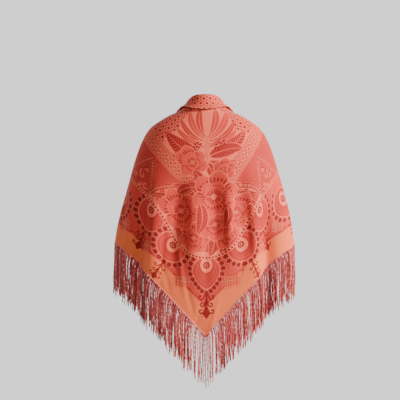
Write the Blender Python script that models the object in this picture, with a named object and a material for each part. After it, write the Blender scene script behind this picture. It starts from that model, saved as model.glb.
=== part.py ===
"""Flamenco shawl: a triangular cloth worn round the shoulders, with a turned neck edge and a fringe.

The wearer would face +Y, so the point of the triangle hangs at the centre back, at -Y. +Z is up, +X is the
wearer's right, and the origin lies between the shoulders, at the foot of the neck. Units are metres.

The cloth is worked out from level sections of the space that it hangs round. A place on it is given by
"turn", from 0 at the centre back to 1 at the right front edge and -1 at the left one, and by "fall", from
0 at the neck to 1 at the hem.
"""

from collections import namedtuple

import bmesh
import bpy
import numpy as np

# Cut of the cloth, as it lies flat: a triangle, with the part of its long edge that goes round the neck
CUT_HALF_WIDTH = 0.90
CUT_HEIGHT = 0.843
NECK_HALF = 0.27
NECK_CROWDING = 1.8
BIAS_GIVE = 0.04
WALL = 0.002
EDGE_GAP = 0.0006

# Level sections of the hanging cloth, half width and depths from the middle, in metres
Section = namedtuple("Section", "height half_width back front square")
SECTIONS = [
    Section(0.058, 0.044, 0.050, 0.046, 2.0),
    Section(0.030, 0.050, 0.056, 0.050, 2.0),
    Section(0.008, 0.060, 0.064, 0.056, 2.0),
    Section(-0.004, 0.073, 0.070, 0.061, 2.05),
    Section(-0.017, 0.094, 0.077, 0.067, 2.1),
    Section(-0.030, 0.122, 0.084, 0.074, 2.15),
    Section(-0.044, 0.146, 0.091, 0.081, 2.2),
    Section(-0.070, 0.182, 0.103, 0.094, 2.25),
    Section(-0.084, 0.193, 0.109, 0.099, 2.3),
    Section(-0.110, 0.208, 0.117, 0.107, 2.35),
    Section(-0.164, 0.229, 0.131, 0.120, 2.4),
    Section(-0.218, 0.245, 0.141, 0.129, 2.45),
    Section(-0.298, 0.266, 0.151, 0.138, 2.5),
    Section(-0.352, 0.280, 0.156, 0.143, 2.5),
    Section(-0.432, 0.296, 0.162, 0.148, 2.5),
    Section(-0.600, 0.316, 0.172, 0.153, 2.5),
    Section(-0.900, 0.330, 0.184, 0.158, 2.5),
]
FRONT_GAP = 0.045
LOWEST = -0.9

# Height of the neck line, how much cloth is turned out along it, and how tightly it rolls over there
NeckPlace = namedtuple("NeckPlace", "turn height turned roll")
NECK = [
    NeckPlace(0.00, 0.030, 0.050, 0.0050),
    NeckPlace(0.15, 0.030, 0.050, 0.0050),
    NeckPlace(0.30, 0.028, 0.045, 0.0046),
    NeckPlace(0.45, 0.022, 0.036, 0.0038),
    NeckPlace(0.60, 0.010, 0.025, 0.0032),
    NeckPlace(0.75, -0.014, 0.016, 0.0030),
    NeckPlace(0.90, -0.056, 0.009, 0.0030),
    NeckPlace(1.00, -0.092, 0.000, 0.0030),
]

# Folds: a trough has a positive depth and a ridge a negative one. "around" runs along the section from
# the centre back, "top" and "bottom" down the cloth from the neck line.
Fold = namedtuple("Fold", "around_top around_bottom top bottom half_width depth")
FOLDS = [
    Fold(-0.080, -0.112, 0.24, 0.66, 0.030, 0.014),
    Fold(0.022, 0.042, 0.20, 0.62, 0.028, 0.013),
    Fold(0.112, 0.128, 0.24, 0.60, 0.024, 0.009),
    Fold(-0.030, -0.036, 0.28, 0.72, 0.030, -0.008),
    Fold(0.078, 0.088, 0.30, 0.64, 0.026, -0.007),
    Fold(-0.160, -0.186, 0.26, 0.70, 0.032, -0.009),
    Fold(0.160, 0.168, 0.30, 0.72, 0.026, -0.008),
    Fold(-0.190, -0.272, 0.30, 0.90, 0.026, 0.026),
    Fold(0.205, 0.214, 0.32, 0.90, 0.026, 0.024),
    Fold(-0.330, -0.345, 0.34, 0.90, 0.032, -0.004),
    Fold(0.292, 0.300, 0.30, 0.90, 0.034, -0.010),
    Fold(-0.420, -0.432, 0.25, 0.90, 0.030, 0.017),
    Fold(0.385, 0.392, 0.27, 0.90, 0.028, 0.015),
    Fold(0.470, 0.480, 0.22, 0.90, 0.030, 0.012),
    Fold(-0.505, -0.520, 0.20, 0.90, 0.028, 0.014),
    Fold(-0.560, -0.585, 0.12, 0.90, 0.030, -0.009),
    Fold(0.545, 0.575, 0.14, 0.90, 0.030, 0.014),
    Fold(-0.610, -0.655, 0.10, 0.90, 0.026, 0.013),
    Fold(0.610, 0.650, 0.12, 0.90, 0.028, -0.008),
    Fold(-0.016, -0.020, 0.72, 1.00, 0.026, 0.005),
]
FADE_SHARE = 0.4

# Share of the hem that the two folds behind the arms take up, which steps the hem there
HemStep = namedtuple("HemStep", "turn taken spread")
HEM_STEPS = [
    HemStep(-0.345, 0.025, 0.022),
    HemStep(0.272, 0.023, 0.022),
]

# Grid of the cloth. The turned edge and the fringe use the same columns.
HALF_COLUMNS = 45
ROWS = 20
ROW_CROWDING = 1.5
FINE_STEPS = 260
RING_POINTS = 181

# Turned neck edge, a rounded fold that stands off the cloth below it
FOLD_STEPS = 5
TURNED_ROWS = 5
TURNED_STEP = 2
TURNED_HALF = 42
EDGE_STAND_OFF = 1.1

# Fringe: a heading strip along each half of the hem, with strands that hang from it
STRANDS_PER_COLUMN = 2
STRAND_SHARE = 0.44
STRIP_END = 0.03
STRIP_HEIGHT = 0.005
STRIP_THICKNESS = 0.003
FRINGE_LENGTH = 0.170
FRINGE_SPREAD = 0.014
ROOT_LENGTH = 0.014
ROOT_LEAN = 0.6
StrandRing = namedtuple("StrandRing", "share width thickness")
STRAND_RINGS = [
    StrandRing(0.0, 0.0042, 0.0030),
    StrandRing(0.45, 0.0040, 0.0030),
    StrandRing(1.0, 0.0022, 0.0018),
]

CORAL = (0.80, 0.23, 0.14)
CORAL_LIGHT = (0.86, 0.27, 0.16)
WINE = (0.42, 0.08, 0.07)


def smooth_table(places, values, where):
    """Values between the rows of a table, on cubic curves that don't overshoot."""
    places = np.asarray(places, float)
    values = np.asarray(values, float)
    spans = np.diff(places)
    slopes = np.diff(values) / spans
    ends = np.concatenate(([slopes[0]], np.zeros(len(slopes) - 1), [slopes[-1]]))
    same_way = slopes[:-1] * slopes[1:] > 0
    middle = 2 * slopes[:-1] * slopes[1:] / np.where(same_way, slopes[:-1] + slopes[1:], 1)
    ends[1:-1] = np.where(same_way, middle, 0)
    row = np.clip(np.searchsorted(places, where) - 1, 0, len(spans) - 1)
    s = np.clip((where - places[row]) / spans[row], 0, 1)
    start = values[row] * (1 + 2 * s) * (1 - s) ** 2 + ends[row] * spans[row] * s * (1 - s) ** 2
    finish = values[row + 1] * s**2 * (3 - 2 * s) + ends[row + 1] * spans[row] * s**2 * (s - 1)
    return start + finish


def section_value(field, height):
    """A column of the section table at any height."""
    rows = SECTIONS[::-1]
    return smooth_table([r.height for r in rows], [getattr(r, field) for r in rows], height)


def neck_value(field, turn):
    return smooth_table([r.turn for r in NECK], [getattr(r, field) for r in NECK], np.abs(turn))


def level_rings(heights):
    """Points of the right half of each level section, from back to front, and how far along each one is."""
    angle = np.linspace(0, np.pi, RING_POINTS)[None, :]
    width = section_value("half_width", heights)[:, None]
    back = section_value("back", heights)[:, None]
    front = section_value("front", heights)[:, None]
    square = section_value("square", heights)[:, None]
    depth = np.where(angle < np.pi / 2, back, front)
    across = np.abs(np.sin(angle) / width) ** square
    radius = (across + np.abs(np.cos(angle) / depth) ** square) ** (-1 / square)
    x = radius * np.sin(angle)
    y = -radius * np.cos(angle)
    steps = np.hypot(np.diff(x, axis=1), np.diff(y, axis=1))
    along = np.concatenate((np.zeros((len(heights), 1)), np.cumsum(steps, axis=1)), axis=1)
    return x, y, along


def hem_share(turn):
    """Share of the hem, from the point of the triangle, at which a column ends."""
    share = np.abs(turn)
    for step in HEM_STEPS:
        side = np.sign(step.turn)
        passed = 0.5 + 0.5 * np.tanh((side * turn - abs(step.turn)) / step.spread)
        evened = passed - np.clip(side * turn, 0, 1)
        share = share + np.where(side * turn > 0, step.taken * evened, 0)
    return share


def column_length(turn):
    """Length of the cloth from the neck line to the hem, from the flat cut."""
    share = hem_share(turn)
    across = share * CUT_HALF_WIDTH - np.abs(turn) ** NECK_CROWDING * NECK_HALF
    down = (1 - share) * CUT_HEIGHT - neck_value("turned", turn)
    length = np.hypot(across, down)
    slant = 2 * across * down / length**2
    return length * (1 + BIAS_GIVE * slant**2)


def fade(down, top, bottom):
    """Strength of a fold down the cloth, from nothing at its top, and at its bottom, to all."""
    reach = (bottom - top) * FADE_SHARE
    rise = np.clip((down - top) / reach, 0, 1)
    end = np.clip((bottom - down) / reach, 0, 1)
    return rise**2 * (3 - 2 * rise) * end**2 * (3 - 2 * end)


def fold_depth(around, down):
    total = 0
    for fold in FOLDS:
        share = np.clip((down - fold.top) / (fold.bottom - fold.top), 0, 1)
        centre = fold.around_top + (fold.around_bottom - fold.around_top) * share
        shape = np.exp(-(((around - centre) / fold.half_width) ** 2))
        total = total + fold.depth * shape * fade(down, fold.top, fold.bottom)
    return total


def smooth_cloth(turns, falls):
    """Points of the unfolded form at each turn and fall, with the way round and the way down to each."""
    points = np.zeros((len(turns), len(falls), 3))
    around = np.zeros((len(turns), len(falls)))
    down = np.zeros((len(turns), len(falls)))
    for column, turn in enumerate(turns):
        top = float(neck_value("height", turn))
        heights = np.linspace(top, LOWEST, FINE_STEPS)
        x, y, along = level_rings(heights)
        wanted = abs(turn) * (along[:, -1] - FRONT_GAP)
        path = np.zeros((FINE_STEPS, 3))
        for level in range(FINE_STEPS):
            path[level, 0] = np.interp(wanted[level], along[level], x[level]) * np.sign(turn)
            path[level, 1] = np.interp(wanted[level], along[level], y[level])
        path[:, 2] = heights
        run = np.concatenate(([0], np.cumsum(np.linalg.norm(np.diff(path, axis=0), axis=1))))
        down[column] = falls * float(column_length(turn))
        around[column] = np.interp(down[column], run, wanted) * np.sign(turn)
        for axis in range(3):
            points[column, :, axis] = np.interp(down[column], run, path[:, axis])
    return points, around, down


def outward_normals(points):
    """Unit normals of a grid of columns and rows, pointing away from the hollow."""
    along_turn = np.gradient(points, axis=0)
    along_fall = np.gradient(points, axis=1)
    normals = np.cross(along_fall, along_turn)
    return normals / np.linalg.norm(normals, axis=2, keepdims=True)


def folded_cloth(turns, falls):
    """Outer face of the cloth, its normals and the way down to each point."""
    points, around, down = smooth_cloth(turns, falls)
    folded = points - outward_normals(points) * fold_depth(around, down)[..., None]
    return folded, outward_normals(folded), down


def cloth_material(name, colour, roughness):
    material = bpy.data.materials.new(name)
    material.use_nodes = True
    shader = material.node_tree.nodes["Principled BSDF"]
    shader.inputs["Base Color"].default_value = (*colour, 1.0)
    shader.inputs["Roughness"].default_value = roughness
    shader.inputs["Metallic"].default_value = 0.0
    return material


def link_object(name, mesh, material):
    obj = bpy.data.objects.new(name, mesh)
    obj.data.materials.append(material)
    bpy.context.scene.collection.objects.link(obj)
    return obj


def walled_sheet(name, outer, inner, material):
    """A closed wall between two grids of points, the outer and the inner face."""
    columns, rows = outer.shape[:2]
    bm = bmesh.new()
    out_verts = [[bm.verts.new(p) for p in line] for line in outer]
    in_verts = [[bm.verts.new(p) for p in line] for line in inner]
    for c in range(columns - 1):
        for r in range(rows - 1):
            bm.faces.new([out_verts[i][j] for i, j in ((c, r), (c, r + 1), (c + 1, r + 1), (c + 1, r))])
            bm.faces.new([in_verts[i][j] for i, j in ((c, r), (c + 1, r), (c + 1, r + 1), (c, r + 1))])
    border = [(c, 0) for c in range(columns)]
    border += [(columns - 1, r) for r in range(1, rows)]
    border += [(c, rows - 1) for c in range(columns - 2, -1, -1)]
    border += [(0, r) for r in range(rows - 2, 0, -1)]
    for (a, b), (c, d) in zip(border, border[1:] + border[:1]):
        bm.faces.new([out_verts[a][b], out_verts[c][d], in_verts[c][d], in_verts[a][b]])
    bmesh.ops.recalc_face_normals(bm, faces=bm.faces)
    mesh = bpy.data.meshes.new(name)
    bm.to_mesh(mesh)
    bm.free()
    mesh.shade_smooth()
    return link_object(name, mesh, material)


def make_cloth(turns):
    """The one cloth, from the neck line to the hem. Returns its outer face, normals and the way down."""
    falls = np.linspace(0, 1, ROWS + 1) ** ROW_CROWDING
    outer, normals, down = folded_cloth(turns, falls)
    walled_sheet("shawl_cloth", outer, outer - normals * WALL, cloth_material("woven coral", CORAL, 0.62))
    return outer, normals, down


def make_turned_edge(turns, base, normals, down):
    """The top edge of the cloth, rolled over outwards and lying back over the nape."""
    widths = neck_value("turned", turns)
    rolls = neck_value("roll", turns)
    up = base[:, 0] - base[:, 1]
    up /= np.linalg.norm(up, axis=1, keepdims=True)
    middle_line = base[:, 0] - normals[:, 0] * WALL / 2
    angles = np.linspace(0, np.pi, FOLD_STEPS + 1)
    out_grid = []
    in_grid = []
    for column in range(len(turns)):
        top = middle_line[column]
        n = normals[column, 0]
        start_low = top + up[column] * EDGE_GAP
        roll = rolls[column]
        centre = start_low + n * roll + up[column] * WALL / 2
        outs = [start_low - n * WALL / 2]
        ins = [start_low + n * WALL / 2]
        for angle in angles:
            ray = -n * np.cos(angle) + up[column] * np.sin(angle)
            outs.append(centre + ray * (roll + WALL / 2))
            ins.append(centre + ray * (roll - WALL / 2))
        for share in np.linspace(0, 1, TURNED_ROWS + 1)[1:]:
            reached = share * widths[column]
            place = np.array([np.interp(reached, down[column], base[column, :, a]) for a in range(3)])
            away = np.array([np.interp(reached, down[column], normals[column, :, a]) for a in range(3)])
            away /= np.linalg.norm(away)
            stand = 2 * roll * (1 + (EDGE_STAND_OFF - 1) * share)
            outs.append(place + away * stand)
            ins.append(place + away * (stand - WALL))
        out_grid.append(outs)
        in_grid.append(ins)
    walled_sheet(
        "turned_collar", np.array(out_grid), np.array(in_grid), cloth_material("turned coral", CORAL_LIGHT, 0.62)
    )


def hem_frames(hem, normals, fall_way):
    """At each hem point, the way along the hem, the way out of the cloth past it, and the outward normal."""
    along = np.gradient(hem, axis=0)
    along /= np.linalg.norm(along, axis=1, keepdims=True)
    past = np.cross(along, normals)
    past *= np.sign(np.sum(past * fall_way, axis=1, keepdims=True))
    past /= np.linalg.norm(past, axis=1, keepdims=True)
    normals = np.cross(past, along)
    return past, normals


def strand_rings(corners, past, rng):
    """Rings of four points down one strand, from the four corners of its root face."""
    root = np.mean(corners, axis=0)
    width_way = (corners[1] + corners[2] - corners[0] - corners[3]) / 2
    width_way[2] = 0
    width_way /= np.linalg.norm(width_way)
    thick_way = np.array([-width_way[1], width_way[0], 0])
    if np.dot(thick_way, corners[3] - corners[0]) < 0:
        thick_way = -thick_way
    lean = past * ROOT_LEAN + np.array([0, 0, ROOT_LEAN - 1])
    lean /= np.linalg.norm(lean)
    elbow = root + lean * ROOT_LENGTH
    length = FRINGE_LENGTH - ROOT_LENGTH + rng.uniform(-FRINGE_SPREAD, FRINGE_SPREAD)
    rings = []
    for ring in STRAND_RINGS:
        centre = elbow - np.array([0, 0, length * ring.share])
        across = width_way * ring.width / 2
        through = thick_way * ring.thickness / 2
        rings.append([centre - across - through, centre + across - through,
                      centre + across + through, centre - across + through])
    return rings


def make_fringe(name, hem, past, normals, rng, material):
    """A heading strip along one half of the hem, and the strands that hang from it, in one body."""
    cells = (len(hem) - 1) * STRANDS_PER_COLUMN
    edge = (1 - STRAND_SHARE) / 2
    shares = np.array([[cell + edge, cell + 1 - edge] for cell in range(cells)]).ravel()
    ends = STRIP_END * STRANDS_PER_COLUMN
    shares = np.concatenate(([ends], shares, [cells - ends])) / STRANDS_PER_COLUMN
    columns = np.arange(len(hem))

    def between(values):
        return np.stack([np.interp(shares, columns, values[:, a]) for a in range(3)], axis=1)

    line = between(hem)
    way = between(past)
    out = between(normals)
    top = line + way * EDGE_GAP
    bottom = line + way * (EDGE_GAP + STRIP_HEIGHT)
    half = out * STRIP_THICKNESS / 2
    bm = bmesh.new()
    loops = [[bm.verts.new(p) for p in ring] for ring in zip(top + half, top - half, bottom - half, bottom + half)]
    for index, (first, second) in enumerate(zip(loops, loops[1:])):
        for side in range(4):
            other = (side + 1) % 4
            is_bottom = side == 2
            if is_bottom and index % 2 == 1:
                root = [first[2], second[2], second[3], first[3]]
                corners = [np.array(v.co) for v in root]
                upper = root
                for ring in strand_rings(corners, way[index], rng):
                    lower = [bm.verts.new(p) for p in ring]
                    for k in range(4):
                        bm.faces.new([upper[k], upper[(k + 1) % 4], lower[(k + 1) % 4], lower[k]])
                    upper = lower
                bm.faces.new(upper)
            else:
                bm.faces.new([first[side], second[side], second[other], first[other]])
    bm.faces.new(loops[0])
    bm.faces.new(loops[-1])
    bmesh.ops.recalc_face_normals(bm, faces=bm.faces)
    mesh = bpy.data.meshes.new(name)
    bm.to_mesh(mesh)
    bm.free()
    link_object(name, mesh, material)


def main():
    for obj in list(bpy.data.objects):
        bpy.data.objects.remove(obj)
    turns = np.linspace(-1, 1, 2 * HALF_COLUMNS + 1)
    outer, normals, down = make_cloth(turns)
    turned = slice(HALF_COLUMNS - TURNED_HALF, HALF_COLUMNS + TURNED_HALF + 1, TURNED_STEP)
    make_turned_edge(turns[turned], outer[turned], normals[turned], down[turned])
    hem = outer[:, -1] - normals[:, -1] * WALL / 2
    past, normals = hem_frames(hem, normals[:, -1], outer[:, -1] - outer[:, -2])
    rng = np.random.default_rng(7)
    wine = cloth_material("fringe yarn", WINE, 0.5)
    centre = HALF_COLUMNS
    make_fringe("fringe_left", hem[: centre + 1], past[: centre + 1], normals[: centre + 1], rng, wine)
    make_fringe("fringe_right", hem[centre:], past[centre:], normals[centre:], rng, wine)


main()
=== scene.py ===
"""Looks of the flamenco shawl: jacquard cloth, turned neck edge, knotted hem and fringe.

The cloth's form repeats the CAD model's own sections, neck line and folds, in metres. Its woven design is
worked out in millimetres on the cloth: "across" runs round from the centre back and "down" from the neck.
"""

from collections import namedtuple

import bpy
import numpy as np
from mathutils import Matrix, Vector


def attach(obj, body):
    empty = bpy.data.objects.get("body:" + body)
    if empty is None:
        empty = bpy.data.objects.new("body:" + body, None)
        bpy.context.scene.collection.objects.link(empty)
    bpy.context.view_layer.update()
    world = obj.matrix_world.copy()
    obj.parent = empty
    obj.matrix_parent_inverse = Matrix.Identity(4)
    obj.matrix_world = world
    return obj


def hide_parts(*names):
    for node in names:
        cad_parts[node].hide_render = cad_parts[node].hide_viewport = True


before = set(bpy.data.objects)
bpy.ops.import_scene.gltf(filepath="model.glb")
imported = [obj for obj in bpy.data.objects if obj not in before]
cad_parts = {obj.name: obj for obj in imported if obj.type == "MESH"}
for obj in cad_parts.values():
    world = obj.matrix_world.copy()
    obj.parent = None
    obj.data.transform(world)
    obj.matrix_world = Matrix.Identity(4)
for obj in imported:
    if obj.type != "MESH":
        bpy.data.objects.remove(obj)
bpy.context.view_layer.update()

# Cut of the cloth and its hanging form, as the CAD model has them
CUT_HALF_WIDTH = 0.90
CUT_HEIGHT = 0.843
NECK_HALF = 0.27
NECK_CROWDING = 1.8
BIAS_GIVE = 0.04
WALL = 0.002
EDGE_GAP = 0.0006

Section = namedtuple("Section", "height half_width back front square")
SECTIONS = [
    Section(0.058, 0.044, 0.050, 0.046, 2.0),
    Section(0.030, 0.050, 0.056, 0.050, 2.0),
    Section(0.008, 0.060, 0.064, 0.056, 2.0),
    Section(-0.004, 0.073, 0.070, 0.061, 2.05),
    Section(-0.017, 0.094, 0.077, 0.067, 2.1),
    Section(-0.030, 0.122, 0.084, 0.074, 2.15),
    Section(-0.044, 0.146, 0.091, 0.081, 2.2),
    Section(-0.070, 0.182, 0.103, 0.094, 2.25),
    Section(-0.084, 0.193, 0.109, 0.099, 2.3),
    Section(-0.110, 0.208, 0.117, 0.107, 2.35),
    Section(-0.164, 0.229, 0.131, 0.120, 2.4),
    Section(-0.218, 0.245, 0.141, 0.129, 2.45),
    Section(-0.298, 0.266, 0.151, 0.138, 2.5),
    Section(-0.352, 0.280, 0.156, 0.143, 2.5),
    Section(-0.432, 0.296, 0.162, 0.148, 2.5),
    Section(-0.600, 0.316, 0.172, 0.153, 2.5),
    Section(-0.900, 0.330, 0.184, 0.158, 2.5),
]
FRONT_GAP = 0.045
HIGHEST = 0.056
LOWEST = -0.9
LEVELS = 520
RING_POINTS = 241

NeckPlace = namedtuple("NeckPlace", "turn height turned roll")
NECK = [
    NeckPlace(0.00, 0.030, 0.050, 0.0050),
    NeckPlace(0.15, 0.030, 0.050, 0.0050),
    NeckPlace(0.30, 0.028, 0.045, 0.0046),
    NeckPlace(0.45, 0.022, 0.036, 0.0038),
    NeckPlace(0.60, 0.010, 0.025, 0.0032),
    NeckPlace(0.75, -0.014, 0.016, 0.0030),
    NeckPlace(0.90, -0.056, 0.009, 0.0030),
    NeckPlace(1.00, -0.092, 0.000, 0.0030),
]

# Folds: a trough has a positive depth and a ridge a negative one, in metres on the cloth
Fold = namedtuple("Fold", "around_top around_bottom top bottom half_width depth")
FOLDS = [
    Fold(-0.080, -0.112, 0.24, 0.66, 0.030, 0.014),
    Fold(0.022, 0.042, 0.20, 0.62, 0.028, 0.013),
    Fold(0.112, 0.128, 0.24, 0.60, 0.024, 0.009),
    Fold(-0.030, -0.036, 0.28, 0.72, 0.030, -0.008),
    Fold(0.078, 0.088, 0.30, 0.64, 0.026, -0.007),
    Fold(-0.160, -0.186, 0.26, 0.70, 0.032, -0.009),
    Fold(0.160, 0.168, 0.30, 0.72, 0.026, -0.008),
    Fold(-0.190, -0.272, 0.30, 0.90, 0.026, 0.026),
    Fold(0.205, 0.214, 0.32, 0.90, 0.026, 0.024),
    Fold(-0.330, -0.345, 0.34, 0.90, 0.032, -0.004),
    Fold(0.292, 0.300, 0.30, 0.90, 0.034, -0.010),
    Fold(-0.420, -0.432, 0.25, 0.90, 0.030, 0.017),
    Fold(0.385, 0.392, 0.27, 0.90, 0.028, 0.015),
    Fold(0.470, 0.480, 0.22, 0.90, 0.030, 0.012),
    Fold(-0.505, -0.520, 0.20, 0.90, 0.028, 0.014),
    Fold(-0.560, -0.585, 0.12, 0.90, 0.030, -0.009),
    Fold(0.545, 0.575, 0.14, 0.90, 0.030, 0.014),
    Fold(-0.610, -0.655, 0.10, 0.90, 0.026, 0.013),
    Fold(0.610, 0.650, 0.12, 0.90, 0.028, -0.008),
    Fold(-0.016, -0.020, 0.72, 1.00, 0.026, 0.005),
]
FADE_SHARE = 0.4

# Creases too fine for the CAD model: soft troughs and ridges between the folds
CREASES = [
    Fold(-0.128, -0.150, 0.40, 0.70, 0.010, 0.0030),
    Fold(-0.098, -0.062, 0.46, 0.70, 0.009, -0.0026),
    Fold(-0.055, -0.072, 0.33, 0.58, 0.010, 0.0030),
    Fold(-0.006, 0.006, 0.40, 0.66, 0.011, 0.0028),
    Fold(0.058, 0.064, 0.34, 0.56, 0.009, 0.0030),
    Fold(0.100, 0.094, 0.30, 0.48, 0.008, 0.0026),
    Fold(0.134, 0.150, 0.36, 0.60, 0.009, 0.0030),
    Fold(-0.215, -0.236, 0.28, 0.52, 0.011, 0.0034),
    Fold(0.238, 0.246, 0.30, 0.56, 0.011, 0.0034),
    Fold(-0.300, -0.292, 0.34, 0.60, 0.012, 0.0030),
    Fold(0.335, 0.330, 0.32, 0.58, 0.011, 0.0030),
    Fold(0.020, -0.045, 0.62, 0.80, 0.009, 0.0016),
    Fold(0.050, 0.004, 0.66, 0.82, 0.008, -0.0014),
    Fold(-0.070, -0.030, 0.60, 0.76, 0.009, 0.0016),
    Fold(0.140, 0.090, 0.52, 0.68, 0.010, 0.0018),
    Fold(-0.150, -0.110, 0.54, 0.69, 0.010, 0.0018),
    Fold(-0.470, -0.462, 0.16, 0.50, 0.012, 0.0034),
    Fold(0.430, 0.436, 0.18, 0.52, 0.012, -0.0030),
    Fold(0.512, 0.520, 0.20, 0.56, 0.011, 0.0030),
    Fold(-0.545, -0.552, 0.22, 0.58, 0.010, 0.0030),
    Fold(0.600, 0.612, 0.14, 0.52, 0.010, 0.0028),
    Fold(-0.640, -0.630, 0.24, 0.60, 0.010, 0.0028),
    Fold(0.676, 0.700, 0.30, 0.66, 0.010, 0.0026),
    Fold(-0.580, -0.600, 0.08, 0.36, 0.010, 0.0026),
]

HemStep = namedtuple("HemStep", "turn taken spread")
HEM_STEPS = [
    HemStep(-0.345, 0.025, 0.022),
    HemStep(0.272, 0.023, 0.022),
]


def smooth_table(places, values, where):
    """Values between the rows of a table, on cubic curves that don't overshoot."""
    places = np.asarray(places, float)
    values = np.asarray(values, float)
    spans = np.diff(places)
    slopes = np.diff(values) / spans
    ends = np.concatenate(([slopes[0]], np.zeros(len(slopes) - 1), [slopes[-1]]))
    same_way = slopes[:-1] * slopes[1:] > 0
    middle = 2 * slopes[:-1] * slopes[1:] / np.where(same_way, slopes[:-1] + slopes[1:], 1)
    ends[1:-1] = np.where(same_way, middle, 0)
    row = np.clip(np.searchsorted(places, where) - 1, 0, len(spans) - 1)
    s = np.clip((where - places[row]) / spans[row], 0, 1)
    start = values[row] * (1 + 2 * s) * (1 - s) ** 2 + ends[row] * spans[row] * s * (1 - s) ** 2
    finish = values[row + 1] * s**2 * (3 - 2 * s) + ends[row + 1] * spans[row] * s**2 * (s - 1)
    return start + finish


def section_value(field, height):
    """A column of the section table at any height."""
    rows = SECTIONS[::-1]
    return smooth_table([r.height for r in rows], [getattr(r, field) for r in rows], height)


def neck_value(field, turn):
    return smooth_table([r.turn for r in NECK], [getattr(r, field) for r in NECK], np.abs(turn))


def level_rings(heights):
    """Points of the right half of each level section, from back to front, and how far along each one is."""
    angle = np.linspace(0, np.pi, RING_POINTS)[None, :]
    width = section_value("half_width", heights)[:, None]
    back = section_value("back", heights)[:, None]
    front = section_value("front", heights)[:, None]
    square = section_value("square", heights)[:, None]
    depth = np.where(angle < np.pi / 2, back, front)
    across = np.abs(np.sin(angle) / width) ** square
    radius = (across + np.abs(np.cos(angle) / depth) ** square) ** (-1 / square)
    x = radius * np.sin(angle)
    y = -radius * np.cos(angle)
    steps = np.hypot(np.diff(x, axis=1), np.diff(y, axis=1))
    along = np.concatenate((np.zeros((len(heights), 1)), np.cumsum(steps, axis=1)), axis=1)
    return x, y, along


def hem_share(turn):
    """Share of the hem, from the point of the triangle, at which a column ends."""
    share = np.abs(turn)
    for step in HEM_STEPS:
        side = np.sign(step.turn)
        passed = 0.5 + 0.5 * np.tanh((side * turn - abs(step.turn)) / step.spread)
        evened = passed - np.clip(side * turn, 0, 1)
        share = share + np.where(side * turn > 0, step.taken * evened, 0)
    return share


def column_length(turn):
    """Length of the cloth from the neck line to the hem, from the flat cut."""
    share = hem_share(turn)
    across = share * CUT_HALF_WIDTH - np.abs(turn) ** NECK_CROWDING * NECK_HALF
    down = (1 - share) * CUT_HEIGHT - neck_value("turned", turn)
    length = np.hypot(across, down)
    slant = 2 * across * down / length**2
    return length * (1 + BIAS_GIVE * slant**2)


def fade(down, top, bottom):
    """Strength of a fold down the cloth, from nothing at its top, and at its bottom, to all."""
    reach = (bottom - top) * FADE_SHARE
    rise = np.clip((down - top) / reach, 0, 1)
    end = np.clip((bottom - down) / reach, 0, 1)
    return rise**2 * (3 - 2 * rise) * end**2 * (3 - 2 * end)


def fold_depth(around, down):
    total = 0
    for fold in FOLDS + CREASES:
        share = np.clip((down - fold.top) / (fold.bottom - fold.top), 0, 1)
        centre = fold.around_top + (fold.around_bottom - fold.around_top) * share
        shape = np.exp(-(((around - centre) / fold.half_width) ** 2))
        total = total + fold.depth * shape * fade(down, fold.top, fold.bottom)
    return total


HEIGHTS = np.linspace(HIGHEST, LOWEST, LEVELS)
RING_X, RING_Y, RING_ALONG = level_rings(HEIGHTS)


def smooth_cloth(turns, falls):
    """Points of the unfolded form at each turn and fall, with the way round and the way down to each."""
    wanted = np.abs(turns)[None, :] * (RING_ALONG[:, -1:] - FRONT_GAP)
    path_x = np.zeros(wanted.shape)
    path_y = np.zeros(wanted.shape)
    for level in range(LEVELS):
        path_x[level] = np.interp(wanted[level], RING_ALONG[level], RING_X[level]) * np.sign(turns)
        path_y[level] = np.interp(wanted[level], RING_ALONG[level], RING_Y[level])
    steps = np.sqrt(
        np.diff(path_x, axis=0) ** 2 + np.diff(path_y, axis=0) ** 2 + np.diff(HEIGHTS)[:, None] ** 2
    )
    run = np.concatenate((np.zeros((1, len(turns))), np.cumsum(steps, axis=0)))
    tops = neck_value("height", turns)
    lengths = column_length(turns)
    points = np.zeros((len(turns), len(falls), 3))
    around = np.zeros((len(turns), len(falls)))
    down = lengths[:, None] * falls[None, :]
    for column in range(len(turns)):
        start = np.interp(-tops[column], -HEIGHTS, run[:, column])
        reached = down[column] + start
        points[column, :, 0] = np.interp(reached, run[:, column], path_x[:, column])
        points[column, :, 1] = np.interp(reached, run[:, column], path_y[:, column])
        points[column, :, 2] = np.interp(reached, run[:, column], HEIGHTS)
        around[column] = np.interp(reached, run[:, column], wanted[:, column]) * np.sign(turns[column])
    return points, around, down


def outward_normals(points):
    """Unit normals of a grid of columns and rows, pointing away from the hollow."""
    along_turn = np.gradient(points, axis=0)
    along_fall = np.gradient(points, axis=1)
    normals = np.cross(along_fall, along_turn)
    return normals / np.linalg.norm(normals, axis=2, keepdims=True)


def folded_cloth(turns, falls):
    """Outer face of the cloth, its normals, and the way round and down to each point."""
    points, around, down = smooth_cloth(turns, falls)
    folded = points - outward_normals(points) * fold_depth(around, down)[..., None]
    return folded, outward_normals(folded), around, down

# Woven design, in millimetres on the cloth. "mid" and "dark" are its two red tones on the light ground.
FAR = 1000.0
OUTLINE = 1.1
CENTRE = 4.0
SIDE_FOLD = 395.0
BORDER = 62.0
NET_PITCH = 21.0
BEAD_PITCH = 10.7

# The right half of the cloth hangs a little closer than the left: its places, and the left half's for them
RIGHT_PLACES = [0, 50, 89, 111, 142, 185, 205, 229, 270, 304, 391]
LEFT_PLACES = [0, 51, 86, 111, 136, 193, 222, 270, 318, 338, 391]

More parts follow.
